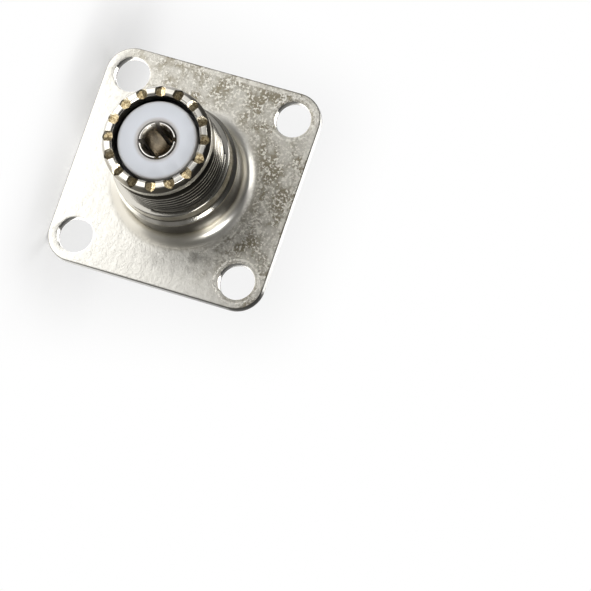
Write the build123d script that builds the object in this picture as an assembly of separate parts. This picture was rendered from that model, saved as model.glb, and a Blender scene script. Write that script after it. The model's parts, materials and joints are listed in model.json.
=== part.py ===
from build123d import *

import os
from math import tan, radians

# Square-flange coaxial panel socket with a slotted plug pin behind it. It is modelled with
# the front of the socket along +Z and turned at the end, so that the finished part looks
# towards -Y with the back face of its flange at the origin. Lengths are in millimetres.

# Flange plate
FLANGE_SIDE = 33.6
FLANGE_THICKNESS = 1.8
FLANGE_EDGE_BREAK = 0.3
HOLE_EDGE_DISTANCE = 4.1
HOLE_DIAMETER = 5.3
HOLE_EDGE_BREAK = 0.3

# Threaded barrel, its heights counted from the front face of the flange
BARREL_HEIGHT = 19.8
THREAD_DIAMETER = 15.875
THREAD_DEPTH = 0.55
COLLAR_HEIGHT = 2.3
COLLAR_CHAMFER_HEIGHT = 0.9
COLLAR_CHAMFER_WIDTH = 0.5
RELIEF_HEIGHT = 1.2
THREAD_END_CHAMFER = 0.25

# Two turned rings between the thread and the flange
BOSS_HEIGHT = 9.4
UPPER_RING_DIAMETER = 17.4
LOWER_RING_DIAMETER = 18.4
LOWER_RING_HEIGHT = 6.9
RING_SLOPE_HEIGHT = 0.55
RING_EDGE_BREAK = 0.2
FLARE_RADIUS = 1.9

# Teeth of the front rim
TOOTH_COUNT = 16
TOOTH_TURN = 2.2
NOTCH_WIDTH = 1.5
NOTCH_HALF_ANGLE = 42.0

# Bores of the body
MOUTH_DIAMETER = 12.7
MOUTH_EDGE_BREAK = 0.2
GAP_DEPTH = 6.0
CORE_DIAMETER = 13.5
REAR_SEAT_DIAMETER = 15.3
REAR_SEAT_DEPTH = 3.4
REAR_RECESS_DIAMETER = 17.6
REAR_RECESS_DEPTH = 0.3

# Punched stakes that hold the rear insulator
STAKE_COUNT = 4
STAKE_TURN = 5.6
STAKE_WIDTH = 1.1
STAKE_PIT_LENGTH = 0.75
STAKE_PIT_DEPTH = 0.5
STAKE_PIT_TAPER = 18.0
STAKE_LIP_REACH = 0.5
STAKE_LIP_ROOT = 0.3
STAKE_LIP_THICKNESS = 0.18

# Insulators
NOSE_DIAMETER = 11.5
NOSE_DEPTH = 1.05
NOSE_EDGE_BREAK = 0.25
SOCKET_HOLE_CLEARANCE = 0.18
SOCKET_HOLE_DEPTH = 9.0
HUB_DIAMETER = 8.8
HUB_HEIGHT = 0.18
HUB_EDGE_BREAK = 0.12
FIT_CLEARANCE = 0.03

# Centre contact
SOCKET_DIAMETER = 5.3
SOCKET_BORE = 4.0
SOCKET_BORE_DEPTH = 12.0
SOCKET_DRILL_ANGLE = 59.0
SOCKET_MOUTH_DIAMETER = 4.9
SOCKET_MOUTH_DEPTH = 0.8
SOCKET_SETBACK = 0.15
CONTACT_COLLAR_DIAMETER = 7.4
CONTACT_COLLAR_LENGTH = 1.5
PIN_DIAMETER = 3.5
PIN_REACH = 11.6
PIN_NOSE_DIAMETER = 2.5
PIN_NOSE_LENGTH = 1.7
PIN_TIP_BREAK = 0.35
SHANK_DIAMETER = 4.0
SHANK_SETBACK = 0.15
FINGER_COUNT = 4
SOCKET_SLOT_WIDTH = 0.65
SOCKET_SLOT_LENGTH = 9.5
SOCKET_SLOT_TURN = 18.0
PIN_SLOT_WIDTH = 0.5
PIN_SLOT_TURN = -5.0

# Places along the axis, from the back face of the flange
FLANGE_FRONT = FLANGE_THICKNESS
RIM = FLANGE_FRONT + BARREL_HEIGHT
BOSS_TOP = FLANGE_FRONT + BOSS_HEIGHT
THREAD_TOP = RIM - COLLAR_HEIGHT - RELIEF_HEIGHT
GAP_FLOOR = RIM - GAP_DEPTH
REAR_SEAT_FLOOR = REAR_RECESS_DEPTH + REAR_SEAT_DEPTH
CONTACT_COLLAR_TOP = REAR_SEAT_FLOOR + CONTACT_COLLAR_LENGTH
NOSE_FACE = RIM - NOSE_DEPTH
SOCKET_FACE = NOSE_FACE - SOCKET_SETBACK
HUB_FACE = REAR_RECESS_DEPTH - HUB_HEIGHT
SHANK_FACE = HUB_FACE + SHANK_SETBACK

HOLE_PITCH = FLANGE_SIDE - 2 * HOLE_EDGE_DISTANCE
THREAD_RADIUS = THREAD_DIAMETER / 2
THREAD_ROOT = THREAD_RADIUS - THREAD_DEPTH
PLAY = FIT_CLEARANCE


def revolved(points, *arcs):
    """Turns a closed (radius, height) outline about the axis; arcs replace single corners."""
    edges = [Line(a, b) for a, b in zip(points, points[1:] + points[:1]) if (a, b) not in arcs]
    bows = [RadiusArc(a, b, FLARE_RADIUS) for a, b in arcs]
    outline = make_face(Wire([*edges, *bows]))
    return revolve(Plane.XZ * outline, Axis.Z)


def flange_plate():
    """The square plate with corners concentric with its screw holes."""
    square = RectangleRounded(FLANGE_SIDE, FLANGE_SIDE, HOLE_EDGE_DISTANCE)
    plate = extrude(square, FLANGE_THICKNESS)
    rims = plate.edges().group_by(Axis.Z)[0] + plate.edges().group_by(Axis.Z)[-1]
    plate = chamfer(rims, FLANGE_EDGE_BREAK)
    for spot in GridLocations(HOLE_PITCH, HOLE_PITCH, 2, 2):
        plate -= spot * screw_hole()
    return plate


def screw_hole():
    """A through hole with both of its edges broken."""
    mouth = HOLE_DIAMETER / 2 + HOLE_EDGE_BREAK
    bore = HOLE_DIAMETER / 2
    outline = [
        (0, 0),
        (mouth, 0),
        (bore, HOLE_EDGE_BREAK),
        (bore, FLANGE_FRONT - HOLE_EDGE_BREAK),
        (mouth, FLANGE_FRONT),
        (0, FLANGE_FRONT),
    ]
    return revolved(outline)


def barrel():
    """The turned outside of the socket from the flange to the rim, as a solid bar."""
    low = LOWER_RING_DIAMETER / 2
    up = UPPER_RING_DIAMETER / 2
    ring = FLANGE_FRONT + LOWER_RING_HEIGHT
    flare_foot = (low + FLARE_RADIUS, FLANGE_FRONT)
    flare_top = (low, FLANGE_FRONT + FLARE_RADIUS)
    outline = [
        (0, FLANGE_EDGE_BREAK),
        (low + FLARE_RADIUS, FLANGE_EDGE_BREAK),
        flare_foot,
        flare_top,
        (low, ring - RING_SLOPE_HEIGHT),
        (up, ring),
        (up, BOSS_TOP - RING_EDGE_BREAK),
        (up - RING_EDGE_BREAK, BOSS_TOP),
        (THREAD_RADIUS, BOSS_TOP),
        (THREAD_RADIUS, THREAD_TOP - THREAD_END_CHAMFER),
        (THREAD_ROOT, THREAD_TOP),
        (THREAD_ROOT, THREAD_TOP + RELIEF_HEIGHT),
        (THREAD_RADIUS, THREAD_TOP + RELIEF_HEIGHT),
        (THREAD_RADIUS, RIM - COLLAR_CHAMFER_HEIGHT),
        (THREAD_RADIUS - COLLAR_CHAMFER_WIDTH, RIM),
        (0, RIM),
    ]
    return revolved(outline, (flare_foot, flare_top))


def body_bores():
    """The stepped hollow that holds the insulators, open at both ends."""
    mouth = MOUTH_DIAMETER / 2
    seat = REAR_SEAT_DIAMETER / 2
    recess = REAR_RECESS_DIAMETER / 2
    outline = [
        (0, 0),
        (recess, 0),
        (recess, REAR_RECESS_DEPTH),
        (seat, REAR_RECESS_DEPTH),
        (seat, REAR_SEAT_FLOOR),
        (CORE_DIAMETER / 2, REAR_SEAT_FLOOR),
        (CORE_DIAMETER / 2, GAP_FLOOR),
        (mouth, GAP_FLOOR),
        (mouth, RIM - MOUTH_EDGE_BREAK),
        (mouth + MOUTH_EDGE_BREAK, RIM),
        (0, RIM),
    ]
    return revolved(outline)


def rim_notch():
    """A V groove across the rim wall, along +X from the axis."""
    depth = NOTCH_WIDTH / 2 / tan(radians(NOTCH_HALF_ANGLE))
    vee = Polyline((-NOTCH_WIDTH / 2, 0), (NOTCH_WIDTH / 2, 0), (0, -depth), close=True)
    section = Plane.YZ * make_face(vee)
    return Pos(0, 0, RIM) * extrude(section, THREAD_RADIUS + NOTCH_WIDTH)


def stake_pit():
    """A punched pit in the floor of the rear recess."""
    middle = REAR_SEAT_DIAMETER / 2 + STAKE_LIP_ROOT + STAKE_PIT_LENGTH / 2
    mark = Pos(middle, 0, REAR_RECESS_DEPTH) * Rectangle(STAKE_PIT_LENGTH, STAKE_WIDTH)
    return extrude(mark, STAKE_PIT_DEPTH, taper=STAKE_PIT_TAPER)


def stake_lip():
    """The metal pushed inwards over the edge of the rear insulator."""
    seat = REAR_SEAT_DIAMETER / 2
    length = STAKE_LIP_REACH + STAKE_LIP_ROOT
    middle = seat + STAKE_LIP_ROOT - length / 2
    tongue = Pos(middle, 0, REAR_RECESS_DEPTH) * Rectangle(length, STAKE_WIDTH)
    return extrude(tongue, -STAKE_LIP_THICKNESS, taper=STAKE_PIT_TAPER)


def body():
    """Flange, rings, threaded barrel and toothed rim in one piece."""
    shape = flange_plate() + barrel() - body_bores()
    notches = PolarLocations(0, TOOTH_COUNT, TOOTH_TURN + 180 / TOOTH_COUNT)
    shape -= [turn * rim_notch() for turn in notches]
    stakes = PolarLocations(0, STAKE_COUNT, STAKE_TURN + 180 / STAKE_COUNT)
    shape -= [turn * stake_pit() for turn in stakes]
    shape += [turn * stake_lip() for turn in stakes]
    return shape


def front_insulator():
    """The stepped sleeve in the barrel, its nose standing free of the mouth."""
    hole = SOCKET_DIAMETER / 2 + PLAY
    wide_hole = SOCKET_DIAMETER / 2 + SOCKET_HOLE_CLEARANCE
    pocket = CONTACT_COLLAR_DIAMETER / 2 + PLAY
    core = CORE_DIAMETER / 2 - PLAY
    nose = NOSE_DIAMETER / 2
    outline = [
        (pocket, REAR_SEAT_FLOOR),
        (core, REAR_SEAT_FLOOR),
        (core, GAP_FLOOR),
        (nose, GAP_FLOOR),
        (nose, NOSE_FACE - NOSE_EDGE_BREAK),
        (nose - NOSE_EDGE_BREAK, NOSE_FACE),
        (wide_hole + NOSE_EDGE_BREAK, NOSE_FACE),
        (wide_hole, NOSE_FACE - NOSE_EDGE_BREAK),
        (wide_hole, NOSE_FACE - SOCKET_HOLE_DEPTH),
        (hole, NOSE_FACE - SOCKET_HOLE_DEPTH),
        (hole, CONTACT_COLLAR_TOP),
        (pocket, CONTACT_COLLAR_TOP),
    ]
    return revolved(outline)


def rear_insulator():
    """The disc behind the contact's collar, with a low hub round the pin's shank."""
    hole = PIN_DIAMETER / 2 + PLAY
    pocket = SHANK_DIAMETER / 2 + PLAY
    seat = REAR_SEAT_DIAMETER / 2 - PLAY
    hub = HUB_DIAMETER / 2
    outline = [
        (hole, HUB_FACE),
        (hub - HUB_EDGE_BREAK, HUB_FACE),
        (hub, HUB_FACE + HUB_EDGE_BREAK),
        (hub, REAR_RECESS_DEPTH),
        (seat, REAR_RECESS_DEPTH),
        (seat, REAR_SEAT_FLOOR),
        (pocket, REAR_SEAT_FLOOR),
        (pocket, SHANK_FACE - PLAY),
        (hole, SHANK_FACE - PLAY),
    ]
    return revolved(outline)


def contact_bar():
    """The turned contact before slotting: plug pin, shank, collar and socket."""
    pin = PIN_DIAMETER / 2
    tip = PIN_NOSE_DIAMETER / 2
    shank = SHANK_DIAMETER / 2
    socket = SOCKET_DIAMETER / 2
    collar = CONTACT_COLLAR_DIAMETER / 2
    bore = SOCKET_BORE / 2
    bore_floor = SOCKET_FACE - SOCKET_BORE_DEPTH
    drill_tip = bore_floor - bore / tan(radians(SOCKET_DRILL_ANGLE))
    outline = [
        (0, -PIN_REACH),
        (tip - PIN_TIP_BREAK, -PIN_REACH),
        (tip, -PIN_REACH + PIN_TIP_BREAK),
        (pin, -PIN_REACH + PIN_NOSE_LENGTH),
        (pin, SHANK_FACE),
        (shank, SHANK_FACE),
        (shank, REAR_SEAT_FLOOR),
        (collar, REAR_SEAT_FLOOR),
        (collar, CONTACT_COLLAR_TOP),
        (socket, CONTACT_COLLAR_TOP),
        (socket, SOCKET_FACE),
        (SOCKET_MOUTH_DIAMETER / 2, SOCKET_FACE),
        (bore, SOCKET_FACE - SOCKET_MOUTH_DEPTH),
        (bore, bore_floor),
        (0, drill_tip),
    ]
    return revolved(outline)


def crossed_slots(width, length, turn):
    """Saw cuts through the axis that part a tube or a pin into fingers, from height 0 up."""
    cuts = PolarLocations(0, FINGER_COUNT, turn)
    reach = CONTACT_COLLAR_DIAMETER
    blade = Pos(reach / 2, 0, 0) * Rectangle(reach, width)
    return [spot * extrude(blade, length) for spot in cuts]


def contact():
    """The centre contact with its slotted socket and slotted plug pin."""
    bar = contact_bar()
    socket_cuts = crossed_slots(SOCKET_SLOT_WIDTH, SOCKET_SLOT_LENGTH, SOCKET_SLOT_TURN)
    bar -= [Pos(0, 0, SOCKET_FACE - SOCKET_SLOT_LENGTH) * cut for cut in socket_cuts]
    pin_cuts = crossed_slots(PIN_SLOT_WIDTH, PIN_REACH + SHANK_FACE, PIN_SLOT_TURN)
    bar -= [Pos(0, 0, -PIN_REACH) * cut for cut in pin_cuts]
    return bar


def main():
    """Writes every piece, turned so that the socket looks towards -Y."""
    os.makedirs("parts", exist_ok=True)
    pieces = {
        "flanged_body": body(),
        "front_insulator": front_insulator(),
        "rear_insulator": rear_insulator(),
        "centre_contact": contact(),
    }
    for name, shape in pieces.items():
        export_step(Rot(90, 0, 0) * shape, f"parts/{name}.step")


main()
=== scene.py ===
"""Looks of a square-flange coaxial panel adapter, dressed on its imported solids.

Every sub-assembly is modelled as it stands on the lathe: its axis along +Z, its heights
counted from the back face of the flange, in millimetres. It is then laid down, in metres,
so that the threaded socket looks towards -Y.
"""

import json
import logging
import math
from collections.abc import Callable
from dataclasses import dataclass
from enum import Enum
from typing import Any, Union

import bpy
from bpy.types import Material, Node, NodeSocket, NodeTree, Object
from mathutils import Matrix, Vector


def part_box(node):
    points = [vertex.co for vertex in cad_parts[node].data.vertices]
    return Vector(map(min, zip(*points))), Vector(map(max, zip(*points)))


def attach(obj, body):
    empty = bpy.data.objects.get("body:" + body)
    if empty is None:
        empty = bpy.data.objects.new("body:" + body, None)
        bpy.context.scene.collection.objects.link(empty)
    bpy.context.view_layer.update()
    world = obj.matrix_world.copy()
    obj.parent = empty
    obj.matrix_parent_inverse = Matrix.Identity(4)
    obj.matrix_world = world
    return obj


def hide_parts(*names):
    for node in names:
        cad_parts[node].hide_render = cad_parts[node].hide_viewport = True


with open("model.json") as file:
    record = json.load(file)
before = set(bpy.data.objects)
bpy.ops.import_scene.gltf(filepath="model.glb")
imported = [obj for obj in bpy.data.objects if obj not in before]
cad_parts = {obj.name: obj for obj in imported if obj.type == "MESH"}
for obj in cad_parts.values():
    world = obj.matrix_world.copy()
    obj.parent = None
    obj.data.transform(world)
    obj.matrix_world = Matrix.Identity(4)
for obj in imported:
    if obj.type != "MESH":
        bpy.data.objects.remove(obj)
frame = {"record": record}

log = logging.getLogger("adapter")
mesh = bpy.ops.mesh
set_mode = bpy.ops.object.mode_set

MM = 0.001
TURNING_STEPS = 192
MERGE = 1e-4
SHARP_ANGLE = 35
WHITE = (1, 1, 1, 1)
Colour = tuple[float, float, float, float]
Pair = tuple[float, float]
Triple = tuple[float, float, float]
Route = list[tuple[float, ...]]
Inputs = dict[int | str, Any]
Operand = Union["Field", float]
Coat = tuple["Field", Union["Field", Colour]]


class Slot(Enum):
    """The record's material slots."""

    BODY = "plated_body"
    INSULATOR = "insulator"
    CONTACT = "plated_contact"


class Operation(Enum):
    """What a tool does to the piece it meets."""

    CUT = "DIFFERENCE"
    ADD = "UNION"


@dataclass(frozen=True)
class Corner:
    """One corner of a turned outline, with the size of its rounding."""

    radius: float
    height: float
    rounding: float = 0.0

    @property
    def place(self) -> Vector:
        """Where the corner lies in the plane that is turned."""
        return Vector((self.radius, 0.0, self.height))


class Bench:
    """Hand operations that every sub-assembly uses."""

    ROUND_SEGMENTS = 3

    @staticmethod
    def put_down() -> None:
        """Leaves edit mode and deselects every object."""
        if bpy.context.mode != "OBJECT":
            set_mode(mode="OBJECT")
        bpy.ops.object.select_all(action="DESELECT")

    @staticmethod
    def pick(obj: Object) -> None:
        """Makes one object the only selected one.

        Args:
            obj: The object to pick.
        """
        Bench.put_down()
        obj.select_set(True)
        bpy.context.view_layer.objects.active = obj

    @staticmethod
    def edit(obj: Object, mode: str = "VERT") -> None:
        """Opens an object in edit mode with nothing selected.

        Args:
            obj: The object to open.
            mode: VERT, EDGE or FACE.
        """
        Bench.pick(obj)
        set_mode(mode="EDIT")
        mesh.select_mode(type=mode)
        mesh.select_all(action="DESELECT")

    @staticmethod
    def outline(name: str, route: Route) -> Object:
        """Draws a closed outline in the XZ plane, one extrusion to a corner, and rounds it.

        Args:
            name: The new object's name.
            route: Radius, height and any rounding of every corner in order.

        Returns:
            An object that holds only the outline's edges.
        """
        corners = [Corner(*stop) for stop in route]
        Bench.put_down()
        mesh.primitive_plane_add(size=1.0)
        obj = bpy.context.active_object
        obj.name = name
        set_mode(mode="EDIT")
        mesh.select_mode(type="VERT")
        mesh.select_all(action="SELECT")
        mesh.merge(type="CENTER")
        mesh.select_all(action="SELECT")
        bpy.ops.transform.translate(value=corners[0].place)
        for here, there in zip(corners, corners[1:] + corners[:1]):
            step = there.place - here.place
            mesh.extrude_region_move(TRANSFORM_OT_translate={"value": step})
        mesh.select_all(action="SELECT")
        mesh.remove_doubles(threshold=MERGE)
        for size in sorted({c.rounding for c in corners if c.rounding > 0}):
            places = [c.place for c in corners if c.rounding == size]
            mesh.select_all(action="DESELECT")
            set_mode(mode="OBJECT")
            for vertex in obj.data.vertices:
                vertex.select = any((vertex.co - p).length < MERGE for p in places)
            set_mode(mode="EDIT")
            mesh.bevel(
                offset=size, segments=Bench.ROUND_SEGMENTS, affect="VERTICES", profile=0.5
            )
        set_mode(mode="OBJECT")
        return obj

    @staticmethod
    def block(size: Triple, place: Triple = (0, 0, 0)) -> Object:
        """Makes a block to start from.

        Args:
            size: Length, width and height.
            place: Its middle.

        Returns:
            The block.
        """
        Bench.put_down()
        mesh.primitive_cube_add(size=1, location=place)
        block = bpy.context.active_object
        block.scale = size
        Bench.settle(block)
        return block

    @staticmethod
    def select_edges(obj: Object, wanted: Callable[[Vector, Vector], bool]) -> None:
        """Opens a mesh with the edges selected whose two ends pass a test.

        Args:
            obj: The object.
            wanted: Takes the two ends and says yes or no.
        """
        Bench.edit(obj, "EDGE")
        set_mode(mode="OBJECT")
        points = obj.data.vertices
        for edge in obj.data.edges:
            edge.select = wanted(*(points[i].co for i in edge.vertices))
        set_mode(mode="EDIT")

    @staticmethod
    def turn(name: str, route: Route, steps: int = TURNING_STEPS) -> Object:
        """Turns a closed outline about the axis into a solid ring or bar.

        Args:
            name: The new object's name.
            route: Radius, height and any rounding of every corner in order.
            steps: How many parts the full turn has.

        Returns:
            The turned object, its faces pointing outwards.
        """
        obj = Bench.outline(name, route)
        Bench.edit(obj)
        mesh.select_all(action="SELECT")
        mesh.spin(steps=steps, angle=math.tau, center=(0, 0, 0), axis=(0, 0, 1))
        Bench.weld()
        mesh.delete_loose(use_verts=True, use_edges=True, use_faces=False)
        Bench.face_outwards()
        return obj

    @staticmethod
    def weld() -> None:
        """Merges the double corners of the open mesh and drops its empty faces."""
        mesh.select_all(action="SELECT")
        mesh.remove_doubles(threshold=MERGE)
        mesh.dissolve_degenerate(threshold=MERGE)

    @staticmethod
    def face_outwards() -> None:
        """Turns the open mesh's faces outwards and closes it."""
        mesh.select_all(action="SELECT")
        mesh.normals_make_consistent(inside=False)
        set_mode(mode="OBJECT")

    @staticmethod
    def use_tool(obj: Object, tool: Object, what: Operation) -> None:
        """Cuts a piece with a tool or joins the two, and puts the tool away.

        Args:
            obj: The piece.
            tool: The other shape, which is used up.
            what: The operation.
        """
        Bench.modify(obj, "BOOLEAN", object=tool, operation=what.value, solver="EXACT")
        bpy.data.objects.remove(tool)

    @staticmethod
    def modify(obj: Object, kind: str, **settings: Any) -> None:
        """Puts a modifier on a piece and applies it.

        Args:
            obj: The piece.
            kind: The modifier's type.
            settings: Its options.
        """
        Bench.pick(obj)
        change = obj.modifiers.new("change", kind)
        for key, value in settings.items():
            setattr(change, key, value)
        bpy.ops.object.modifier_apply(modifier=change.name)

    @staticmethod
    def copy_turned(obj: Object, degrees: float) -> Object:
        """Copies an object with its own mesh, turned about the axis.

        Args:
            obj: The object to copy.
            degrees: How far the copy is turned.

        Returns:
            The copy.
        """
        copy = obj.copy()
        copy.data = obj.data.copy()
        bpy.context.scene.collection.objects.link(copy)
        copy.data.transform(Matrix.Rotation(math.radians(degrees), 4, "Z"))
        return copy

    @staticmethod
    def copies_around(tool: Object, count: int, first: float) -> Object:
        """Copies a tool evenly around the axis and joins the copies to one.

        Args:
            tool: The tool as it lies at +X, with its place in its mesh.
            count: How many there are.
            first: The angle of the first, in degrees from +X.

        Returns:
            One object that holds them all.
        """
        made = [Bench.copy_turned(tool, first + i * 360 / count) for i in range(count)]
        bpy.data.objects.remove(tool)
        Bench.put_down()
        for copy in made:
            copy.select_set(True)
        bpy.context.view_layer.objects.active = made[0]
        bpy.ops.object.join()
        return made[0]

    @staticmethod
    def tidy(obj: Object) -> None:
        """Merges what the tools left double and cuts the large faces into sound triangles.

        Args:
            obj: The piece after its last cut.
        """
        Bench.edit(obj)
        Bench.weld()
        mesh.select_all(action="SELECT")
        mesh.quads_convert_to_tris(quad_method="BEAUTY", ngon_method="BEAUTY")
        set_mode(mode="OBJECT")

    @staticmethod
    def settle(obj: Object) -> None:
        """Writes an object's place, turn and size into its mesh."""
        Bench.pick(obj)
        bpy.ops.object.transform_apply(location=True, rotation=True, scale=True)

    @staticmethod
    def lay_down(obj: Object) -> Object:
        """Lays a finished piece down along -Y, in metres, and smooths its shallow edges.

        Args:
            obj: The piece as it was modelled.

        Returns:
            The same piece.
        """
        obj.scale = (MM, MM, MM)
        obj.rotation_euler = (math.pi / 2, 0, 0)
        Bench.settle(obj)
        bpy.ops.object.shade_smooth_by_angle(angle=math.radians(SHARP_ANGLE))
        Bench.modify(obj, "WEIGHTED_NORMAL", keep_sharp=True, weight=100)
        return obj

    @staticmethod
    def fit(obj: Object, node: str, slot: Slot, material: Material) -> None:
        """Dresses a piece and lets it stand for its solid.

        Args:
            obj: The finished piece.
            node: The solid's node.
            slot: The record's material slot; not used.
            material: The finish.
        """
        obj.data.materials.clear()
        obj.data.materials.append(material)
        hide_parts(node)
        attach(obj, "root")
        log.info("%s stands for %s, %d faces", obj.name, node, len(obj.data.polygons))


class Field:
    """A shader value that can be written in an expression."""

    def __init__(self, sheet: "Sheet", socket: NodeSocket) -> None:
        """Wraps the socket of a node on a sheet."""
        self.sheet = sheet
        self.socket = socket

    def of(self, operation: str, *others: Operand) -> "Field":
        """Adds one Math node on this value and others."""
        inputs = dict(enumerate((self, *others)))
        return self.sheet.field("Math", {"operation": operation}, inputs)

    def __add__(self, other: Operand) -> "Field":
        """Sum."""
        return self.of("ADD", other)

    __radd__ = __add__

    def __sub__(self, other: Operand) -> "Field":
        """Difference."""
        return self.of("SUBTRACT", other)

    def __rsub__(self, other: Operand) -> "Field":
        """Difference the other way round."""
        return self * -1 + other

    def __mul__(self, other: Operand) -> "Field":
        """Product."""
        return self.of("MULTIPLY", other)

    __rmul__ = __mul__

    def __truediv__(self, other: Operand) -> "Field":
        """Quotient."""
        return self.of("DIVIDE", other)

    def __abs__(self) -> "Field":
        """Size without its sign."""
        return self.of("ABSOLUTE")

    def capped(self) -> "Field":
        """The value, but no more than 1."""
        return self.of("MINIMUM", 1.0)

    def diagonal(self, other: "Field") -> "Field":
        """Length of the diagonal over this value and another."""
        return (self * self + other * other).of("SQRT")

    def ramp(self, low: float, high: float) -> "Field":
        """Rises smoothly from 0 at low to 1 at high, or falls where low is the larger."""
        return self.sheet.field(
            "MapRange",
            {"interpolation_type": "SMOOTHSTEP", "clamp": True},
            {0: self, 1: low, 2: high, 3: 0.0, 4: 1.0},
        )

    def within(self, low: float, high: float, soft: float) -> "Field":
        """Is 1 between two values and 0 outside, with soft edges."""
        return self.ramp(low - soft, low) * self.ramp(high + soft, high)


@dataclass(frozen=True)
class Cloud:
    """How fine, detailed and rough a noise is."""

    scale: float
    detail: float = 2.0
    rough: float = 0.5


class Sheet:
    """The node sheet of one material."""

    def __init__(self, tree: NodeTree) -> None:
        """Clears the tree."""
        self.tree = tree
        tree.nodes.clear()

    def node(self, kind: str, settings: dict[str, Any], inputs: Inputs) -> Node:
        """Adds one node.

        Args:
            kind: The node's type, after the word ShaderNode.
            settings: Its own options, set before its sockets.
            inputs: Values, fields or sockets by the name or number of the input.

        Returns:
            The new node.
        """
        made = self.tree.nodes.new("ShaderNode" + kind)
        for key, value in settings.items():
            setattr(made, key, value)
        for key, value in inputs.items():
            if isinstance(value, Field):
                value = value.socket
            if isinstance(value, NodeSocket):
                self.tree.links.new(value, made.inputs[key])
            else:
                made.inputs[key].default_value = value
        return made

    def field(
        self, kind: str, settings: dict[str, Any], inputs: Inputs, output: int | str = 0
    ) -> Field:
        """Adds one node and wraps one of its outputs."""
        return Field(self, self.node(kind, settings, inputs).outputs[output])

    def blend(self, mask: Operand, below: Field | Colour, above: Field | Colour) -> Field:
        """Mixes two colours by a mask."""
        return self.field("Mix", {"data_type": "RGBA"}, {0: mask, 6: below, 7: above}, 2)

    def paint(self, ground: Field | Colour, coats: list[Coat]) -> Field | Colour:
        """Lays coats of colour over a ground, each where its mask lets it.

        Args:
            ground: The lowest colour.
            coats: A mask and a colour for each coat, the lowest first.

        Returns:
            The colour that shows.
        """
        for mask, colour in coats:
            ground = self.blend(mask, ground, colour)
        return ground

    def noise(self, place: Field, cloud: Cloud) -> Field:
        """Cloud-like noise around 0.5 over a place in millimetres."""
        inputs = {"Scale": cloud.scale, "Detail": cloud.detail, "Roughness": cloud.rough}
        return self.field("TexNoise", {}, {"Vector": place, **inputs})

    def vector(self, *parts: Operand) -> Field:
        """Joins three numbers to one vector."""
        return self.field("CombineXYZ", {}, dict(enumerate(parts)))

    def bump(self, height: Field) -> Field:
        """Turns a height in millimetres into a bent normal."""
        inputs = {"Height": height, "Distance": MM, "Strength": 1.0}
        return self.field("Bump", {}, inputs)

    def rays(self) -> tuple[Field, Field]:
        """Tells which rays come from the camera and which ones from a reflection."""
        path = self.node("LightPath", {}, {}).outputs
        return Field(self, path["Is Camera Ray"]), Field(self, path["Is Glossy Ray"])

    def skin(self, inputs: Inputs) -> None:
        """Ends the sheet in the main shader, with its inputs."""
        shader = self.node("BsdfPrincipled", {}, inputs)
        self.node("OutputMaterial", {}, {0: shader.outputs[0]})


@dataclass
class Place:
    """Where a shading point lies on the laid-down part, in millimetres."""

    spot: Field
    x: Field
    z: Field
    height: Field
    radius: Field

    @classmethod
    def on(cls, sheet: Sheet) -> "Place":
        """Reads the object's own coordinates.

        Args:
            sheet: The material's sheet.

        Returns:
            The place as fields: height runs from the flange's back towards the socket.
        """
        coordinates = sheet.field("TexCoord", {}, {}, "Object")
        spot = sheet.field(
            "VectorMath", {"operation": "SCALE"}, {0: coordinates, "Scale": 1 / MM}
        )
        split = sheet.node("SeparateXYZ", {}, {0: spot})
        x, y, z = (Field(sheet, split.outputs[i]) for i in range(3))
        return cls(spot, x, z, y * -1, x.diagonal(z))

    def rings(self, scale: float) -> Field:
        """Fine turning marks: noise that changes only along the radius and the height."""
        sheet = self.radius.sheet
        return sheet.noise(sheet.vector(self.radius, self.height, 0.0), Cloud(scale, 3.0, 0.6))


def shader_material(name: str) -> tuple[Material, Sheet]:
    """Makes an empty node material.

    Args:
        name: The material's name.

    Returns:
        The material and its sheet.
    """
    material = bpy.data.materials.new(name)
    material.use_nodes = True
    return material, Sheet(material.node_tree)


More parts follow.
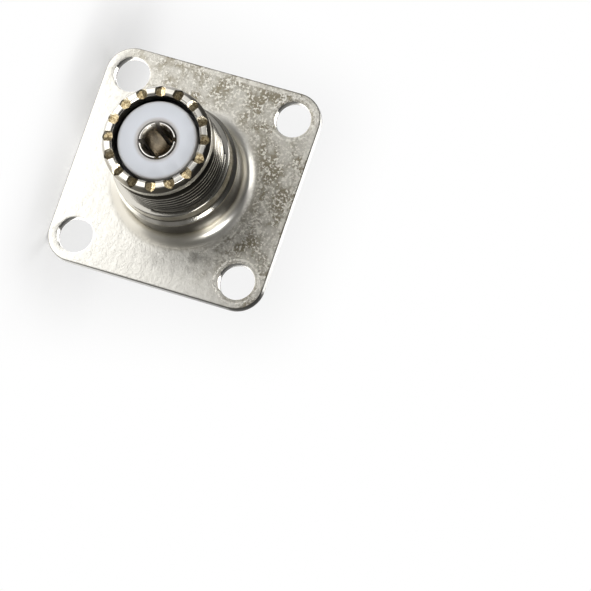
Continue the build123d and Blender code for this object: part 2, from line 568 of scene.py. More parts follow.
class BodyMap:
    """Distances in millimetres from the body's own faces, and the masks that coats share."""

    BLOTCH = Cloud(0.32, 5.0, 0.65)
    GRAIN = Cloud(3.1, 3.0, 0.6)
    MOTTLE = Cloud(0.9, 4.0, 0.6)
    DUST = Cloud(6.0)
    SCRATCH = Cloud(1.0, 1.0, 0.4)
    RING_SCALE = 9.0
    CLIMB_START = 12
    CLIMB_UP = 26
    CLIMB_ASIDE = 22
    CLIMB_LENGTH = 34
    SCRATCH_LEANS = (0.35, -1.3, 1.9)
    SCRATCH_ALONG = 0.14
    SCRATCH_BESIDE = 2.6

    def __init__(self, shape: "FlangedBody") -> None:
        """Measures the distances and sets up the noises and the shared masks.

        Args:
            shape: The body's sizes.
        """
        self.shape = shape
        self.made, self.sheet = shader_material("nickel_plate")
        sheet = self.sheet
        self.place = place = Place.on(sheet)
        self.rise = place.height - shape.thickness
        self.sunk = shape.rim - place.height
        self.inset = shape.thread_radius - place.radius
        self.outside = place.radius - shape.flare_foot
        aside, above = (abs(way) - shape.hole_pitch / 2 for way in (place.x, place.z))
        self.from_hole = aside.diagonal(above)
        corner = aside.of("MAXIMUM", 0.0).diagonal(above.of("MAXIMUM", 0.0))
        self.past_side = corner + (shape.hole_pitch - shape.side) / 2
        # The climb is a gradient across the flange's front; it places the painted shade and the
        # painted highlight along the edge.
        aside, above = (way + self.CLIMB_START for way in (place.x, place.z))
        self.climb = (above * self.CLIMB_UP - aside * self.CLIMB_ASIDE) / self.CLIMB_LENGTH

        self.grain = sheet.noise(place.spot, self.GRAIN)
        self.mottle = sheet.noise(place.spot, self.MOTTLE)
        self.dust = sheet.noise(place.spot, self.DUST)
        self.patch = sheet.noise(place.spot, self.BLOTCH).ramp(0.40, 0.60)
        self.rings = place.rings(self.RING_SCALE)
        self.pits = self.grain.ramp(0.50, 0.60)

        front = self.rise.ramp(-0.25, -0.05)
        self.flat = front * self.outside.ramp(-1.6, 1.0) * self.rise.ramp(1.2, 0.1)
        self.flare = front * self.rise.ramp(3.0, 1.2)
        self.back = place.height.ramp(0.25, 0.02)
        # Painted shade: the flange's front darker towards one corner, its edge broken by
        # mottling.
        self.painted_shade = self.flat * (self.climb + (self.mottle - 0.5) * 9).ramp(-5.0, 6.0)
        # The edge masks the flange's side faces, which take painted shade.
        edge = self.past_side.ramp(-0.26, -0.10) * self.rise.ramp(0.0, -0.1)
        self.edge = edge * (1 - self.back)
        # A raised burr round each hole; its pale colour, on one side only, is a painted
        # highlight.
        burr_highlight = self.from_hole.within(3.2, 3.35, 0.16) * self.grain.ramp(0.40, 0.50)
        self.burr_highlight = self.flat * burr_highlight * place.z.ramp(0.0, 6.0)
        self.marks = self.scratches()
        x, z = shape.dent
        dent = (place.x - x).diagonal(place.z - z)
        self.bruise = self.back * dent.ramp(0.75, 0.35)

    def scratches(self) -> Field:
        """Masks faint straight handling marks in three directions.

        Returns:
            A field that is 1 on a mark.
        """
        place, marks = self.place, []
        for lean in self.SCRATCH_LEANS:
            along = place.x * math.cos(lean) + place.z * math.sin(lean)
            beside = place.z * math.cos(lean) - place.x * math.sin(lean)
            line = self.sheet.vector(
                along * self.SCRATCH_ALONG, beside * self.SCRATCH_BESIDE, lean * 10
            )
            marks.append(self.sheet.noise(line, self.SCRATCH).ramp(0.68, 0.80))
        return marks[0].of("MAXIMUM", marks[1]).of("MAXIMUM", marks[2])

    def notches(self) -> Field:
        """Masks the faces that were cut between the teeth, where the brass shows.

        Returns:
            A field that is 1 on a cut face.
        """
        shape, place = self.shape, self.place
        pitch = 360 / shape.tooth_count
        angle = place.z.of("ARCTAN2", place.x) * (180 / math.pi)
        turn = ((angle - shape.tooth_turn) / pitch).of("FRACT")
        off = abs(turn - 0.5) * math.radians(pitch)
        above = place.height - (shape.rim - shape.notch_depth)
        half_width = above * math.tan(math.radians(shape.notch_half_angle)) + 0.04
        wall = (half_width - place.radius * off.of("SINE")).ramp(0.0, 0.03)
        return wall * above.ramp(-0.05, 0.0)


class PlatedBody(BodyMap):
    """Bright nickel over brass: grained in front, satin behind, turned on the barrel."""

    NICKEL: Colour = (0.84, 0.82, 0.76, 1)
    # The next colour is painted shade on the flange's front.
    PAINTED_SHADE_NICKEL: Colour = (0.285, 0.25, 0.175, 1)
    # Pale paints grain pits, marks and painted highlights.
    PALE_MARK_AND_HIGHLIGHT: Colour = (0.96, 0.93, 0.85, 1)
    # Olive paints shade on the barrel; the dark colour below paints shade and dark reflections.
    PAINTED_SHADE_OLIVE: Colour = (0.32, 0.29, 0.225, 1)
    PAINTED_SHADE_DARK: Colour = (0.05, 0.045, 0.035, 1)
    BRASS: Colour = (0.88, 0.80, 0.62, 1)
    TARNISH: Colour = (0.40, 0.32, 0.20, 1)
    SATIN: Colour = (0.48, 0.445, 0.375, 1)
    SATIN_DEEP: Colour = (0.42, 0.385, 0.32, 1)

    def material(self) -> Material:
        """Builds the finish.

        Returns:
            The material.
        """
        coats = [
            *self.front_coats(),
            *self.barrel_coats(),
            # Painted shade on the flange's side faces.
            (self.edge * 0.75, self.PAINTED_SHADE_DARK),
            (self.back, self.rear()),
            *self.rim_coats(),
        ]
        rough = 0.15 + self.rings * 0.06 + self.flat * (0.10 + self.grain * 0.10)
        rough = rough + self.back * 0.24 + (self.edge + self.flare) * 0.12
        self.sheet.skin(
            {
                "Base Color": self.sheet.paint(self.NICKEL, coats),
                "Metallic": 1.0,
                "Roughness": rough,
                "Normal": self.sheet.bump(self.relief()),
            }
        )
        return self.made

    def front_coats(self) -> list[Coat]:
        """Paints the flange's front: painted shade towards one corner, bright grain pits there
        and a painted dark reflection of the barrel beside its foot.

        Returns:
            The coats, the lowest first.
        """
        place, patch = self.place, self.patch
        # Painted dark reflection of the barrel on the flange beside its foot, on one side only.
        foot = place.radius.ramp(16.0, 12.0) * place.x.ramp(2.0, 7.0) * place.z.ramp(-3.0, 4.0)
        return [
            # Painted shade on the flange's front, with bright grain pits in it.
            (self.painted_shade * (0.35 + patch * 0.6), self.PAINTED_SHADE_NICKEL),
            (self.painted_shade * self.pits * (0.7 + patch * 0.3), self.PALE_MARK_AND_HIGHLIGHT),
            # Painted reflection of the barrel beside its foot.
            (self.flat * foot * (0.25 + patch * 0.35), self.PAINTED_SHADE_DARK),
        ]

    def barrel_coats(self) -> list[Coat]:
        """Paints shade on the turned barrel, its thread, its rings, its flare and its chamfer,
        and picks out crests and a ring's slope with painted highlights.

        Returns:
            The coats, the lowest first.
        """
        place, shape = self.place, self.shape
        step = place.height - shape.ring_step
        belt_top = shape.lower_ring_height - shape.ring_slope - 0.6
        # Painted shade: the turned barrel darkened to olive, less on the collar.
        turned = self.rise.ramp(1.2, 2.2) * self.sunk.ramp(0.04, 0.10)
        turned = turned * (1 - self.sunk.ramp(2.4, 2.2) * 0.3)
        screw = place.height.within(shape.boss_top, shape.thread_top + shape.relief_height, 0.2)
        belt = self.rise.within(2.4, belt_top, 0.5)
        groove = step.within(0.08, 0.5, 0.15)
        slope = step.within(-0.5, -0.1, 0.1)
        root = screw * self.inset.ramp(0.02, 0.35)
        crest = screw * self.inset.ramp(0.10, 0.01)
        under = self.flare * self.outside.ramp(0.6, -0.5)
        under = under * place.x.ramp(0.0, 6.0) * place.z.ramp(10.0, 4.0)
        chamfer = self.sunk.within(0.1, 0.95, 0.06) * self.inset.ramp(0.55, 0.4)
        return [
            # Painted shade over the turned barrel.
            (turned * (0.7 + self.patch * 0.3), self.PAINTED_SHADE_OLIVE),
            # Painted shade on the thread, a dark band on the lower ring and the groove between
            # the rings.
            ((screw * 0.88 + belt * 0.8 + groove * 0.75).capped(), self.PAINTED_SHADE_DARK),
            # Painted shade in the thread's roots.
            (root * 0.9, self.PAINTED_SHADE_DARK),
            # Painted shade on the flare's lower side.
            (under * 0.6, self.PAINTED_SHADE_OLIVE),
            # Painted shade on the collar's chamfer, in two coats.
            (chamfer * 0.8, self.PAINTED_SHADE_OLIVE),
            (chamfer * 0.4, self.PAINTED_SHADE_DARK),
            # Painted highlights on the thread's crests and on the slope between the rings.
            (crest * 0.4 + slope * 0.45, self.PALE_MARK_AND_HIGHLIGHT),
        ]

    def rear(self) -> Field:
        """Colours the satin back with its scratches and its bright dent.

        Returns:
            The colour.
        """
        satin = self.sheet.blend(self.mottle.ramp(0.35, 0.65), self.SATIN, self.SATIN_DEEP)
        return self.sheet.blend((self.marks * 0.3 + self.bruise).capped(), satin, self.PALE_MARK_AND_HIGHLIGHT)

    def rim_coats(self) -> list[Coat]:
        """Paints highlights on the teeth, the holes' edges and the flange's edge, outlines the
        teeth with painted shade and shows brass in the notches.

        Returns:
            The coats, the lowest first.
        """
        land = self.sunk.ramp(0.06, 0.02)
        # The brink is a painted highlight along the flange's edge.
        brink = self.past_side.within(-0.75, -0.34, 0.22) * self.flat
        brink = brink * self.climb.ramp(2.0, 12.0) * self.mottle.ramp(0.32, 0.56)
        # Painted highlights on the lands, on the holes' burrs and along the flange's edge.
        bright = land * (0.45 + self.grain * 0.7) + self.burr_highlight + brink * 0.7
        # Painted shade along the lands' inner and outer edges.
        brim = land * (self.inset.ramp(0.66, 0.52) + self.inset.ramp(1.18, 1.32))
        cut = self.notches() * self.inset.ramp(0.16, 0.4)
        gold = self.sheet.blend(self.grain.ramp(0.45, 0.60), self.BRASS, self.TARNISH)
        return [(bright.capped(), self.PALE_MARK_AND_HIGHLIGHT), (brim * 0.7, self.PAINTED_SHADE_DARK), (cut * 0.85, gold)]

    def relief(self) -> Field:
        """Raises the grain of the front, the turning marks and the marks behind.

        Returns:
            The height in millimetres.
        """
        pitted = self.pits * 0.03 * (0.3 + self.painted_shade)
        front = self.flat * (pitted + self.mottle * 0.09 + self.dust * 0.005 + self.burr_highlight * 0.05)
        turned = self.rings * 0.003 * (1 - self.flat)
        rear = self.dust * 0.004 - self.marks * 0.006 + self.bruise * self.grain * 0.08
        return front + turned + self.back * rear


@dataclass(frozen=True)
class WhitePolymer:
    """Waxy white fluoropolymer with a faint blue cast, darker at its hole and its rim."""

    name: str
    hole: float
    rim: float
    hole_shade: Pair = (0.7, 0.75)
    rim_shade: Pair = (0.5, 0.45)
    tint: Colour = (0.755, 0.78, 0.825, 1)
    deep: Colour = (0.42, 0.38, 0.34, 1)
    ring_scale: float = 5.0

    def material(self) -> Material:
        """Builds the finish.

        Returns:
            The material.
        """
        material, sheet = shader_material(self.name)
        place = Place.on(sheet)
        lines = place.rings(self.ring_scale)
        (hole_width, hole_share), (rim_width, rim_share) = self.hole_shade, self.rim_shade
        hole = place.radius.ramp(self.hole + hole_width, self.hole) * hole_share
        rim = place.radius.ramp(self.rim - rim_width, self.rim) * rim_share
        sheet.skin(
            {
                "Base Color": sheet.paint(self.tint, [(hole, self.deep), (rim, self.deep)]),
                "Roughness": 0.42 + lines * 0.12,
                "Subsurface Weight": 0.25,
                "Subsurface Scale": 0.0006,
                "Subsurface Radius": (1.0, 1.0, 1.0),
                "Specular IOR Level": 0.35,
                "Normal": sheet.bump(lines * 0.006),
            }
        )
        return material


@dataclass(frozen=True)
class PlatedContact:
    """Turned contact metal, bright outside, with painted shade darker down its bore."""

    bright: Colour = (0.80, 0.78, 0.73, 1)
    # The next colour is painted shade down the bore.
    painted_shade: Colour = (0.64, 0.57, 0.47, 1)
    painted_shade_share: float = 0.6
    ring_scale: float = 7.0

    def material(self) -> Material:
        """Builds the finish.

        Returns:
            The material.
        """
        material, sheet = shader_material("contact_plate")
        place = Place.on(sheet)
        lines = place.rings(self.ring_scale)
        # Painted shade: darker the deeper into the bore.
        inside = place.height.ramp(2.0, 5.0) * place.radius.ramp(2.3, 2.1)
        sheet.skin(
            {
                "Base Color": sheet.blend(inside * self.painted_shade_share, self.bright, self.painted_shade),
                "Metallic": 1.0,
                "Roughness": 0.14 + lines * 0.12,
                "Normal": sheet.bump(lines * 0.008),
            }
        )
        return material


@dataclass
class FlangedBody:
    """The square flange, the turned rings, the threaded barrel and the toothed rim."""

    side: float
    rim: float
    hole_pitch: float
    hole_radius: float
    thread_radius: float
    thickness: float = 1.8
    corner_segments: int = 16
    edge_round: float = 0.3
    edge_segments: int = 4
    hole_break: float = 0.3
    hole_steps: int = 64
    thread_pitch: float = 25.4 / 24
    thread_depth: float = 0.55
    thread_root_flat: float = 0.18
    thread_flank: float = 30.0
    thread_lift: float = 0.02
    thread_over: float = 0.12
    thread_run_out: float = 0.3
    thread_steps: int = 96
    collar_height: float = 2.3
    collar_chamfer_height: float = 0.9
    collar_chamfer_width: float = 0.5
    relief_height: float = 1.2
    thread_lead: float = 0.25
    undercut: float = 0.3
    boss_height: float = 9.4
    upper_ring_radius: float = 8.7
    lower_ring_radius: float = 9.2
    lower_ring_height: float = 6.9
    ring_slope: float = 0.55
    flare: float = 1.9
    flare_sink: float = 0.01
    flare_steps: int = 8
    mouth_radius: float = 6.35
    mouth_break: float = 0.2
    gap_depth: float = 6.0
    core_radius: float = 6.75
    seat_radius: float = 7.65
    seat_depth: float = 3.4
    recess_radius: float = 8.8
    recess_depth: float = 0.3
    recess_break: float = 0.06
    tooth_count: int = 16
    tooth_turn: float = 2.2
    notch_width: float = 1.5
    notch_half_angle: float = 42.0
    notch_bar_length: float = 4.0
    notch_bar_middle: float = 7.2
    stake_count: int = 4
    stake_turn: float = 50.6
    stake_width: float = 1.1
    stake_length: float = 0.75
    stake_depth: float = 0.5
    stake_taper: float = 0.62
    lip_root: float = 0.3
    lip_reach: float = 0.5
    lip_thickness: float = 0.18
    lip_taper: float = 0.7
    dent_radius: float = 9.6
    dent_offset: float = 7.0

    @property
    def notch_depth(self) -> float:
        """How deep a notch goes."""
        return self.notch_width / 2 / math.tan(math.radians(self.notch_half_angle))

    @property
    def flare_foot(self) -> float:
        """The radius at which the flare meets the flange."""
        return self.lower_ring_radius + self.flare

    @property
    def ring_step(self) -> float:
        """Where the upper ring stands on the lower one."""
        return self.thickness + self.lower_ring_height

    @property
    def boss_top(self) -> float:
        """Where the thread ends on the rings."""
        return self.thickness + self.boss_height

    @property
    def thread_top(self) -> float:
        """Where the thread ends below the collar."""
        return self.rim - self.collar_height - self.relief_height

    @property
    def dent(self) -> Pair:
        """Where the bright dent lies on the back face."""
        angle = math.radians(self.stake_turn + self.dent_offset)
        return self.dent_radius * math.cos(angle), self.dent_radius * math.sin(angle)

    def plate(self) -> Object:
        """Makes the flange: a cube drawn out, its corners and edges rounded.

        Returns:
            The square plate with no holes.
        """
        size = (self.side, self.side, self.thickness)
        plate = Bench.block(size, (0, 0, self.thickness / 2))
        corner = (self.side - self.hole_pitch) / 2
        for wanted, offset, segments in (
            (lambda a, b: (a - b).xy.length < MERGE, corner, self.corner_segments),
            (lambda a, b: abs(a.z - b.z) < MERGE, self.edge_round, self.edge_segments),
        ):
            Bench.select_edges(plate, wanted)
            mesh.bevel(offset=offset, segments=segments, affect="EDGES", profile=0.5)
        set_mode(mode="OBJECT")
        return plate

    def bar(self) -> Object:
        """Turns the outside of the socket as a solid bar.

        Returns:
            The bar, its foot inside the flange.
        """
        low, up = self.lower_ring_radius, self.upper_ring_radius
        crest, ring = self.thread_radius, self.ring_step
        root = crest - self.thread_depth
        rise = self.thickness - self.flare_sink + self.flare
        lead = self.boss_top + self.undercut + self.thread_lead
        collar = self.thread_top + self.relief_height
        angles = (math.pi / 2 * i / self.flare_steps for i in range(self.flare_steps + 1))
        flare = [
            (self.flare_foot - self.flare * math.sin(a), rise - self.flare * math.cos(a))
            for a in angles
        ]
        corners = [
            (0, self.edge_round), (self.flare_foot, self.edge_round), *flare,
            (low, ring - self.ring_slope, 0.15), (up, ring, 0.12), (up, self.boss_top, 0.2),
            (root, self.boss_top), (root, self.boss_top + self.undercut), (crest, lead),
            (crest, self.thread_top - self.thread_lead), (root, self.thread_top),
            (root, collar, 0.1), (crest, collar, 0.08),
            (crest, self.rim - self.collar_chamfer_height, 0.15),
            (crest - self.collar_chamfer_width, self.rim, 0.08), (0, self.rim),
        ]
        return Bench.turn("barrel_bar", corners)

    def hollow(self) -> Object:
        """Turns the stepped hollow of the body as a cutting bar, a little longer than the body.

        Returns:
            The cutting bar.
        """
        over, edge, gap = 0.3, self.recess_break, self.rim - self.gap_depth
        rim_round = self.mouth_break * 0.4
        corners = [
            (0, -over), (self.recess_radius + edge + over, -over),
            (self.recess_radius, edge), (self.recess_radius, self.recess_depth, 0.05),
            (self.seat_radius, self.recess_depth, 0.05),
            (self.seat_radius, self.recess_depth + self.seat_depth),
            (self.core_radius, self.recess_depth + self.seat_depth),
            (self.core_radius, gap), (self.mouth_radius, gap),
            (self.mouth_radius, self.rim - self.mouth_break, rim_round),
            (self.mouth_radius + self.mouth_break + over, self.rim + over),
            (0, self.rim + over),
        ]
        return Bench.turn("body_hollow", corners)

    def screw_holes(self) -> Object:
        """Turns the cutter of the screw holes, with rounded mouths, and sets four of them.

        Returns:
            The four cutters as one object.
        """
        bore, width, top = self.hole_radius, self.hole_break, self.thickness
        wide, near = bore + width * 1.7, width * 0.3
        mouth = [(0, -near), (wide, -near), (bore + near, near), (bore, width)]
        corners = mouth + [(radius, top - height) for radius, height in reversed(mouth)]
        cutter = Bench.turn("hole_cutter", corners, self.hole_steps)
        cutter.location = (self.hole_pitch / math.sqrt(2), 0, 0)
        Bench.settle(cutter)
        return Bench.copies_around(cutter, 4, 45)

    def notch_cutters(self) -> Object:
        """Makes the V cutters of the rim: a square bar on its edge, one for every gap.

        Returns:
            All the cutters as one object.
        """
        Bench.put_down()
        tall = 2 * self.notch_depth
        wide = tall * math.tan(math.radians(self.notch_half_angle))
        mesh.primitive_cylinder_add(vertices=4, radius=1, depth=1)
        cutter = bpy.context.active_object
        cutter.rotation_euler = (0, math.pi / 2, 0)
        Bench.settle(cutter)
        cutter.scale = (self.notch_bar_length, wide, tall)
        cutter.location = (self.notch_bar_middle, 0, self.rim + tall - self.notch_depth)
        Bench.settle(cutter)
        first = self.tooth_turn + 180 / self.tooth_count
        return Bench.copies_around(cutter, self.tooth_count, first)

    def thread_cutter(self) -> Object:
        """Winds the thread's groove as a helical cutting bar.

        Returns:
            The closed bar.
        """
        root = self.thread_radius - self.thread_depth + self.thread_lift
        over = self.thread_over
        flat, rise = self.thread_root_flat / 2, math.tan(math.radians(self.thread_flank))
        wide = flat + (self.thread_depth + over) * rise
        start = self.boss_top + self.undercut / 2
        section = [
            (root, start - flat), (self.thread_radius + over, start - wide),
            (self.thread_radius + over, start + wide), (root, start + flat),
        ]
        cutter = Bench.outline("thread_cutter", section)
        turns = (self.thread_top - start) / self.thread_pitch + self.thread_run_out
        Bench.modify(
            cutter,
            "SCREW",
            axis="Z",
            angle=math.tau,
            screw_offset=self.thread_pitch,
            iterations=math.ceil(turns),
            steps=self.thread_steps,
            render_steps=self.thread_steps,
            use_merge_vertices=False,
        )
        Bench.edit(cutter)
        mesh.select_non_manifold()
        mesh.edge_face_add()
        Bench.face_outwards()
        return cutter

    def stakes(self, length: float, depth: float, share: float, inwards: bool) -> Object:
        """Makes the punch marks in the rear ring, or the metal that they pushed inwards.

        Args:
            length: The length of each along the radius.
            depth: How far each stands out of the ring, and as far into it.
            share: The narrow end's share of the wide one.
            inwards: Whether each reaches inwards, upside down, as the pushed metal does.

        Returns:
            All of them as one object.
        """
        size = (length, self.stake_width, depth * 2)
        block = Bench.block(size)
        Bench.select_edges(block, lambda a, b: a.z > 0 and b.z > 0)
        bpy.ops.transform.resize(value=(share, share, 1))
        Bench.select_edges(block, lambda a, b: abs(a.z - b.z) > MERGE or a.z > 0)
        mesh.bevel(offset=min(size) * 0.2, segments=2, affect="EDGES", profile=0.5)
        set_mode(mode="OBJECT")
        reach = -length / 2 if inwards else length / 2
        block.rotation_euler = (math.pi if inwards else 0, 0, 0)
        block.location = (self.seat_radius + self.lip_root + reach, 0, self.recess_depth)
        Bench.settle(block)
        return Bench.copies_around(block, self.stake_count, self.stake_turn)

    def build(self) -> Object:
        """Puts the body together as it would be made and lays it down.

        Returns:
            The finished piece.
        """
        body = self.plate()
        body.name = "nickel_body"
        bar = self.bar()
        Bench.use_tool(bar, self.thread_cutter(), Operation.CUT)
        pit, lip = self.stake_length, self.lip_reach + self.lip_root
        for tool, what in (
            (bar, Operation.ADD),
            (self.hollow(), Operation.CUT),
            (self.screw_holes(), Operation.CUT),
            (self.notch_cutters(), Operation.CUT),
            (self.stakes(lip, self.lip_thickness, self.lip_taper, True), Operation.ADD),
            (self.stakes(pit, self.stake_depth, self.stake_taper, False), Operation.CUT),
        ):
            Bench.use_tool(body, tool, what)
        Bench.tidy(body)
        return Bench.lay_down(body)

    def dress(self) -> None:
        """Builds the piece, plates it and lets it stand for its solid."""
        Bench.fit(self.build(), "flanged_body", Slot.BODY, PlatedBody(self).material())


@dataclass
class FrontInsulator:
    """The white sleeve in the barrel, its nose round the centre socket."""

    face: float
    core_radius: float
    foot: float = 3.7
    shoulder: float = 15.6
    nose_radius: float = 5.75
    hole_radius: float = 2.83
    tight_radius: float = 2.68
    hole_depth: float = 9.0
    pocket_radius: float = 3.73
    pocket_top: float = 5.2
    edge: float = 0.25

    def build(self) -> Object:
        """Turns the sleeve and lays it down.

        Returns:
            The finished piece.
        """
        floor = self.face - self.hole_depth
        corners = [
            (self.pocket_radius, self.foot), (self.core_radius, self.foot),
            (self.core_radius, self.shoulder), (self.nose_radius, self.shoulder),
            (self.nose_radius, self.face, self.edge),
            (self.hole_radius, self.face, self.edge), (self.hole_radius, floor),
            (self.tight_radius, floor), (self.tight_radius, self.pocket_top),
            (self.pocket_radius, self.pocket_top),
        ]
        return Bench.lay_down(Bench.turn("nose_insulator", corners))

    def dress(self) -> None:
        """Builds the piece, gives it its wax and lets it stand for its solid."""
        wax = WhitePolymer("white_nose", self.hole_radius, self.nose_radius).material()
        Bench.fit(self.build(), "front_insulator", Slot.INSULATOR, wax)


@dataclass
class RearInsulator:
    """The white disc behind, with a low hub round the pin."""

    outer_radius: float
    foot: float = 0.3
    top: float = 3.7
    hub_radius: float = 4.4
    hub_face: float = 0.12
    hole_radius: float = 1.78
    pocket_radius: float = 2.03
    lip: float = 0.24
    hub_round: float = 0.1
    edge: float = 0.06

    def build(self) -> Object:
        """Turns the disc and lays it down.

        Returns:
            The finished piece.
        """
        corners = [
            (self.hole_radius, self.hub_face),
            (self.hub_radius, self.hub_face, self.hub_round), (self.hub_radius, self.foot),
            (self.outer_radius, self.foot, self.edge), (self.outer_radius, self.top),
            (self.pocket_radius, self.top), (self.pocket_radius, self.lip),
            (self.hole_radius, self.lip),
        ]
        return Bench.lay_down(Bench.turn("disc_insulator", corners))

    def dress(self) -> None:
        """Builds the piece, gives it its wax and lets it stand for its solid."""
        wax = WhitePolymer("white_disc", self.hole_radius, self.outer_radius).material()
        Bench.fit(self.build(), "rear_insulator", Slot.INSULATOR, wax)


@dataclass
class CentreContact:
    """The slotted socket in front, the slotted plug pin behind and the collar between."""

    socket_face: float
    pin_reach: float
    bore_radius: float
    pin_radius: float
    socket_radius: float = 2.65
    mouth_radius: float = 2.45
    mouth_depth: float = 0.8
    bore_depth: float = 12.0
    drill_angle: float = 59.0
    collar_radius: float = 3.7
    collar_foot: float = 3.7
    collar_top: float = 5.2
    shank_radius: float = 2.0
    shank_face: float = 0.27
    nose_radius: float = 1.25
    nose_length: float = 1.7
    nose_round: float = 0.3
    socket_slot_width: float = 0.65
    socket_slot_length: float = 9.5
    socket_slot_turn: float = 18.0
    pin_slot_width: float = 0.5
    pin_slot_turn: float = -5.0
    slot_over: float = 1.0

    def bar(self) -> Object:
        """Turns the contact before its slots are cut.

        Returns:
            The turned bar.
        """
        floor = self.socket_face - self.bore_depth
        drill = floor - self.bore_radius / math.tan(math.radians(self.drill_angle))
        corners = [
            (0, -self.pin_reach), (self.nose_radius, -self.pin_reach, self.nose_round),
            (self.pin_radius, self.nose_length - self.pin_reach, self.nose_round),
            (self.pin_radius, self.shank_face), (self.shank_radius, self.shank_face),
            (self.shank_radius, self.collar_foot), (self.collar_radius, self.collar_foot),
            (self.collar_radius, self.collar_top), (self.socket_radius, self.collar_top),
            (self.socket_radius, self.socket_face, 0.07),
            (self.mouth_radius, self.socket_face, 0.04),
            (self.bore_radius, self.socket_face - self.mouth_depth, 0.1),
            (self.bore_radius, floor), (0, drill),
        ]
        return Bench.turn("slotted_contact", corners)

    def blade(self, width: float, low: float, high: float, turn: float) -> Object:
        """Makes two crossed saw blades between two heights.

        Args:
            width: The slot's width.
            low: The lower height.
            high: The upper height.
            turn: The first slot's angle in degrees.

        Returns:
            Both blades as one object.
        """
        size = (3 * self.collar_radius, width, high - low)
        blade = Bench.block(size, (0, 0, (low + high) / 2))
        Bench.use_tool(blade, Bench.copy_turned(blade, 90), Operation.ADD)
        blade.data.transform(Matrix.Rotation(math.radians(turn), 4, "Z"))
        return blade

    def build(self) -> Object:
        """Turns and slots the contact and lays it down.

        Returns:
            The finished piece.
        """
        contact = self.bar()
        face, tip = self.socket_face + self.slot_over, -self.pin_reach - self.slot_over
        floor = self.socket_face - self.socket_slot_length
        for blade in (
            self.blade(self.socket_slot_width, floor, face, self.socket_slot_turn),
            self.blade(self.pin_slot_width, tip, self.shank_face, self.pin_slot_turn),
        ):
            Bench.use_tool(contact, blade, Operation.CUT)
        return Bench.lay_down(contact)

    def dress(self) -> None:
        """Builds the piece, plates it and lets it stand for its solid."""
        Bench.fit(self.build(), "centre_contact", Slot.CONTACT, PlatedContact().material())


@dataclass(frozen=True)
class Lamp:
    """A square soft lamp: place and side in millimetres, power in watts."""

    name: str
    place: Triple
    side: float
    power: float


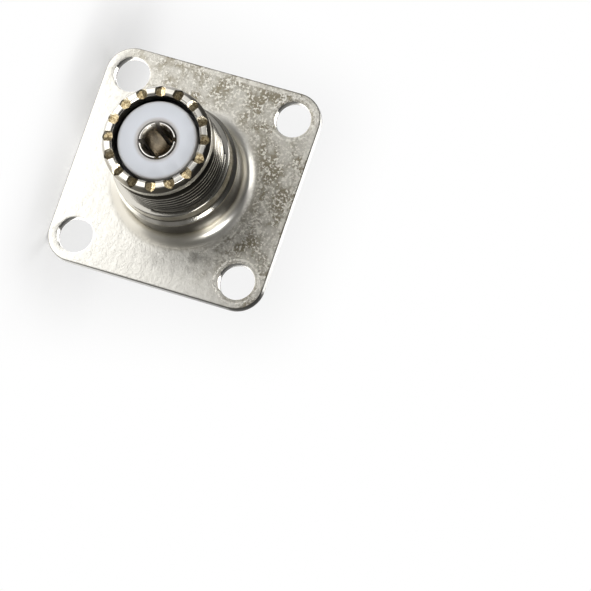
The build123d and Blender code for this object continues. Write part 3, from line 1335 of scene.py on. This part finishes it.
@dataclass
class Studio:
    """The camera, the lamps, the floor and the light around."""

    floor_height: float
    camera_place: Triple = (118.576, -548.534, 162.012)
    camera_aim: Triple = (11.888, 0.0, 21.258)
    camera_roll: float = 106.31
    lens: float = 243.35
    sensor: float = 36.0
    clip: Pair = (0.01, 20)
    lamps: tuple[Lamp, ...] = (
        Lamp("key_lamp", (-250, -280, 300), 150, 0.42),
        Lamp("accent_lamp", (290, -140, 320), 170, 1.0),
        Lamp("front_lamp", (-190, -390, 150), 110, 0.18),
        Lamp("back_lamp", (-180, 400, 200), 260, 0.9),
    )
    floor_size: float = 12
    floor_white: Colour = (0.9, 0.9, 0.9, 1)
    fade: Pair = (30, 170)
    fade_loss: float = 0.6
    veil: float = 0.3
    shade_lean: float = 0.215
    shade_width: Pair = (34, 14)
    shade_start: Pair = (30, -5)
    shade_end: Pair = (-190, -115)
    bright_side: float = 1.78
    dim_side: float = 1.1
    side_place: float = -27.0
    side_lean: float = 0.13
    side_soft: float = 16
    dark_lean: float = 0.185
    dark_start: Pair = (24.5, 33.0)
    dark_loss: float = 0.72
    room_low: float = 0.04
    room_high: float = 0.22
    room_rise: Pair = (0.9, -0.05)
    fill: float = 0.36

    @staticmethod
    def aimed(place: Vector, aim: Vector) -> Matrix:
        """Turns something at a place towards an aim."""
        turn = (aim - place).to_track_quat("-Z", "Y").to_matrix().to_4x4()
        return Matrix.Translation(place) @ turn

    def camera(self) -> None:
        """Sets the camera where the photograph was taken from."""
        data = bpy.data.cameras.new("camera")
        data.sensor_width, data.lens = self.sensor, self.lens
        data.clip_start, data.clip_end = self.clip
        camera = bpy.data.objects.new("camera", data)
        bpy.context.scene.collection.objects.link(camera)
        roll = Matrix.Rotation(math.radians(self.camera_roll), 4, "Z")
        place, aim = Vector(self.camera_place) * MM, Vector(self.camera_aim) * MM
        camera.matrix_world = self.aimed(place, aim) @ roll
        bpy.context.scene.camera = camera

    def hang(self, lamp: Lamp) -> None:
        """Hangs one soft lamp that looks at the part.

        Args:
            lamp: The lamp.
        """
        data = bpy.data.lights.new(lamp.name, "AREA")
        data.size, data.energy = lamp.side * MM, lamp.power
        light = bpy.data.objects.new(lamp.name, data)
        bpy.context.scene.collection.objects.link(light)
        light.matrix_world = self.aimed(Vector(lamp.place) * MM, Vector())
        light.visible_camera = False

    def floor(self) -> None:
        """Lays the white floor, which fades to plain white and keeps the part's shadow."""
        Bench.put_down()
        place = (0, 0, self.floor_height * MM)
        mesh.primitive_plane_add(size=self.floor_size, location=place)
        floor = bpy.context.active_object
        floor.name = "floor"
        material, sheet = shader_material("white_floor")
        seen, mirrored = sheet.rays()
        spot = Place.on(sheet)
        glare = mirrored * self.glare(spot)
        share = (seen * (1 - self.shade(spot) * (1 - self.veil)) + mirrored).capped()
        matt = sheet.node("BsdfDiffuse", {}, {"Color": self.floor_white})
        glow = sheet.node("Emission", {}, {"Color": WHITE, "Strength": seen + glare})
        mixed = sheet.node(
            "MixShader", {}, {0: share, 1: matt.outputs[0], 2: glow.outputs[0]}
        )
        sheet.node("OutputMaterial", {}, {0: mixed.outputs[0]})
        floor.data.materials.append(material)

    def glare(self, spot: Place) -> Field:
        """Lights the floor to reflections: bright on one side, dim on the other and beyond.

        Args:
            spot: The place on the floor.

        Returns:
            The strength.
        """
        side = spot.x - self.side_place - spot.height * self.side_lean
        bright = side.ramp(-self.side_soft, self.side_soft)
        sheen = self.dim_side + bright * (self.bright_side - self.dim_side)
        span = spot.x.diagonal(spot.height).ramp(*self.fade)
        beyond = (spot.x + spot.height * self.dark_lean).ramp(*self.dark_start)
        return sheen * (1 - span * self.fade_loss) * (1 - beyond * self.dark_loss)

    def shade(self, spot: Place) -> Field:
        """Masks the soft strip of floor behind the flange that keeps the part's shadow."""
        beside = abs(spot.x - spot.height * self.shade_lean).ramp(*self.shade_width)
        return beside * spot.height.ramp(*self.shade_start) * spot.height.ramp(*self.shade_end)

    def surroundings(self) -> None:
        """Fills the room with a plain grey light and shows white behind the part."""
        world = bpy.data.worlds.new("room")
        bpy.context.scene.world = world
        world.use_nodes = True
        sheet = Sheet(world.node_tree)
        seen, mirrored = sheet.rays()
        coordinates = sheet.field("TexCoord", {}, {}, "Generated")
        height = sheet.field("SeparateXYZ", {}, {0: coordinates}, 2)
        room = self.room_low + height.ramp(*self.room_rise) * (self.room_high - self.room_low)
        strength = seen + (1 - seen) * (mirrored * room + (1 - mirrored) * self.fill)
        light = sheet.node("Background", {}, {"Color": WHITE, "Strength": strength})
        sheet.node("OutputWorld", {}, {0: light.outputs[0]})

    def build(self) -> None:
        """Sets up everything around the part."""
        self.camera()
        self.floor()
        self.surroundings()
        for lamp in self.lamps:
            self.hang(lamp)
        bpy.context.scene.view_settings.view_transform = "Standard"


def mount(name: str) -> dict[str, Any]:
    """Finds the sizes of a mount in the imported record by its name."""
    return next(m for m in frame["record"]["mounts"] if m["name"] == name)["dims"]


def main() -> None:
    """Builds and dresses the part, piece by piece, then its surroundings."""
    logging.basicConfig(level=logging.INFO, format="%(name)s: %(message)s")
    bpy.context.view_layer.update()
    low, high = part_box("flanged_body")
    holes = mount("flange_holes")
    FlangedBody(
        side=(high.x - low.x) / MM,
        rim=-low.y / MM,
        hole_pitch=holes["spacing_x_mm"],
        hole_radius=holes["hole_r_mm"],
        thread_radius=mount("coupling_thread")["r_mm"],
    ).dress()
    sleeve_low, sleeve_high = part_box("front_insulator")
    FrontInsulator(face=-sleeve_low.y / MM, core_radius=sleeve_high.x / MM).dress()
    RearInsulator(outer_radius=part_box("rear_insulator")[1].x / MM).dress()
    contact_low, contact_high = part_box("centre_contact")
    CentreContact(
        socket_face=-contact_low.y / MM,
        pin_reach=contact_high.y / MM,
        bore_radius=mount("centre_socket")["r_mm"],
        pin_radius=mount("plug_pin")["r_mm"],
    ).dress()
    Studio(floor_height=low.z / MM).build()


if __name__ == "__main__":
    main()
